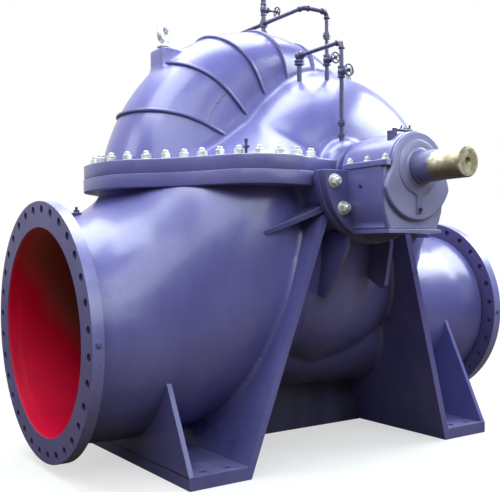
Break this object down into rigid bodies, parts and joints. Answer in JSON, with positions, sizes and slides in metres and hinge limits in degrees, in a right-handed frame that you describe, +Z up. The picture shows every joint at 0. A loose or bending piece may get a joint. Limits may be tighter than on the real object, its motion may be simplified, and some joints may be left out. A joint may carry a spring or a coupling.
{
  "type": "double-suction centrifugal pump",
  "caption": "Horizontal double-suction centrifugal pump with an axially split volute casing, in-line suction and discharge flanges and a bearing housing on each side.",
  "frame": {"origin": "on the floor, under the middle of the shaft, on the underside of the centre web", "axes": "+X along the pipe axis from the suction flange to the discharge flange, -Y towards the driven end of the shaft, +Z up"},
  "size_m": [3.18, 3.0083, 2.88],
  "materials": {
    "paint": "gloss blue-violet paint",
    "steel": "bare steel with a film of grease",
    "zinc": "zinc plated"
  },
  "bodies": {
    "casing": {"lower_casing": "paint", "upper_casing": "paint", "suction_duct": "paint", "suction_flange": "paint", "discharge_branch": "paint", "discharge_flange": "paint", "suction_foot": "paint", "discharge_foot": "paint", "centre_web": "paint", "driven_bearing_housing": "paint", "driven_bearing_cap": "paint", "driven_bearing_cover": "paint", "driven_grease_cup": "paint", "driven_flush_pipe": "paint", "driven_flush_valve": "paint", "driven_flush_dropper": "paint", "driven_flush_union": "paint", "driven_flush_tail": "paint", "driven_balance_pipe": "paint", "driven_balance_valve": "paint", "driven_balance_tail": "paint", "free_bearing_housing": "paint", "free_bearing_cap": "paint", "free_bearing_cover": "paint", "free_grease_cup": "paint", "free_flush_pipe": "paint", "free_flush_valve": "paint", "free_flush_wheel": "paint", "free_flush_dropper": "paint", "free_flush_union": "paint", "free_flush_tail": "paint", "free_balance_pipe": "paint", "free_balance_valve": "paint", "free_balance_wheel": "paint", "free_balance_tail": "paint", "vent_tee": "paint", "vent_valve": "paint", "suction_eye_bolt": "zinc", "discharge_eye_bolt": "zinc"},
    "rotor": {"pump_shaft": "steel"},
    "flush_handwheel": {"driven_flush_wheel": "paint"},
    "balance_handwheel": {"driven_balance_wheel": "paint"},
    "vent_handwheel": {"vent_wheel": "paint"}
  },
  "joints": [
    {"name": "shaft_spin", "type": "hinge", "parent": "casing", "child": "rotor", "pos_m": [0, 0, 1.68], "axis": [0, -1, 0], "continuous": true},
    {"name": "flush_valve_turn", "type": "hinge", "parent": "casing", "child": "flush_handwheel", "pos_m": [-0.04, -0.8143, 2.285], "axis": [0, -1, 0], "range_deg": [0, 1080]},
    {"name": "balance_valve_turn", "type": "hinge", "parent": "casing", "child": "balance_handwheel", "pos_m": [0.1, -0.5333, 2.43], "axis": [0, -1, 0], "range_deg": [0, 1080]},
    {"name": "vent_valve_turn", "type": "hinge", "parent": "casing", "child": "vent_handwheel", "pos_m": [0.0233, -0.03, 2.81765], "axis": [1, 0, 0], "range_deg": [0, 1080]}
  ]
}
